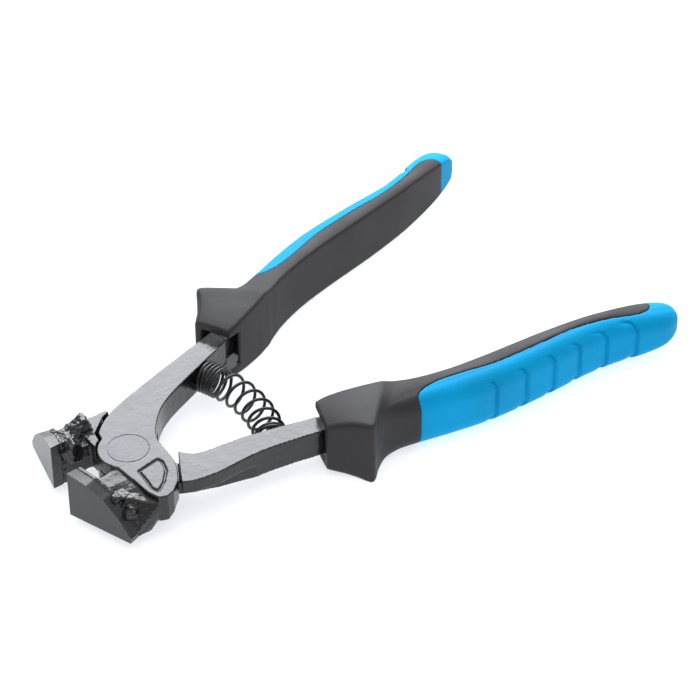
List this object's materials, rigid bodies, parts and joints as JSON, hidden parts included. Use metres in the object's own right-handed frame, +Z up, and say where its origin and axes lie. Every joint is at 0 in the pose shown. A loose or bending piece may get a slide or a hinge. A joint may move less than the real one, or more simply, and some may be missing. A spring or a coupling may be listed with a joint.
{
  "type": "tile nippers",
  "caption": "Hand nippers for ceramic tile with offset carbide-tipped jaws, a lapped rivet pivot, an opening spring and two-colour moulded grips.",
  "frame": {"origin": "middle of the tool's footprint on the surface it lies on, with the jaws open", "axes": "+X from the jaws to the handle ends, +Y to the upper handle, +Z up along the rivet"},
  "size_m": [0.1936, 0.1162, 0.0213],
  "materials": {
    "forged_steel": "glossy black enamel over rough forging",
    "carbide": "ground satin dark grey",
    "rivet": "flush ground head under black enamel",
    "spring_wire": "black oxide wire",
    "grip_core": "plain moulded",
    "grip_cover": "fine matte moulding texture",
    "grip_panel": "satin moulded"
  },
  "bodies": {
    "lower_handle": {"lower_arm": "forged_steel", "lower_carbide_tip": "carbide", "lower_grip_core": "grip_core", "lower_grip_cover": "grip_cover", "lower_grip_panel": "grip_panel", "pivot_rivet": "rivet", "opening_spring": "spring_wire"},
    "upper_handle": {"upper_arm": "forged_steel", "upper_carbide_tip": "carbide", "upper_grip_core": "grip_core", "upper_grip_cover": "grip_cover", "upper_grip_panel": "grip_panel"}
  },
  "joints": [
    {"name": "pivot_hinge", "type": "hinge", "parent": "lower_handle", "child": "upper_handle", "pos_m": [-0.07488, -0.0038, 0.0105], "axis": [0, 0, -1], "range_deg": [0, 31.5], "stiffness_Nm_per_rad": 0.6, "springref_deg": -20.05, "deforming": ["opening_spring"]}
  ]
}
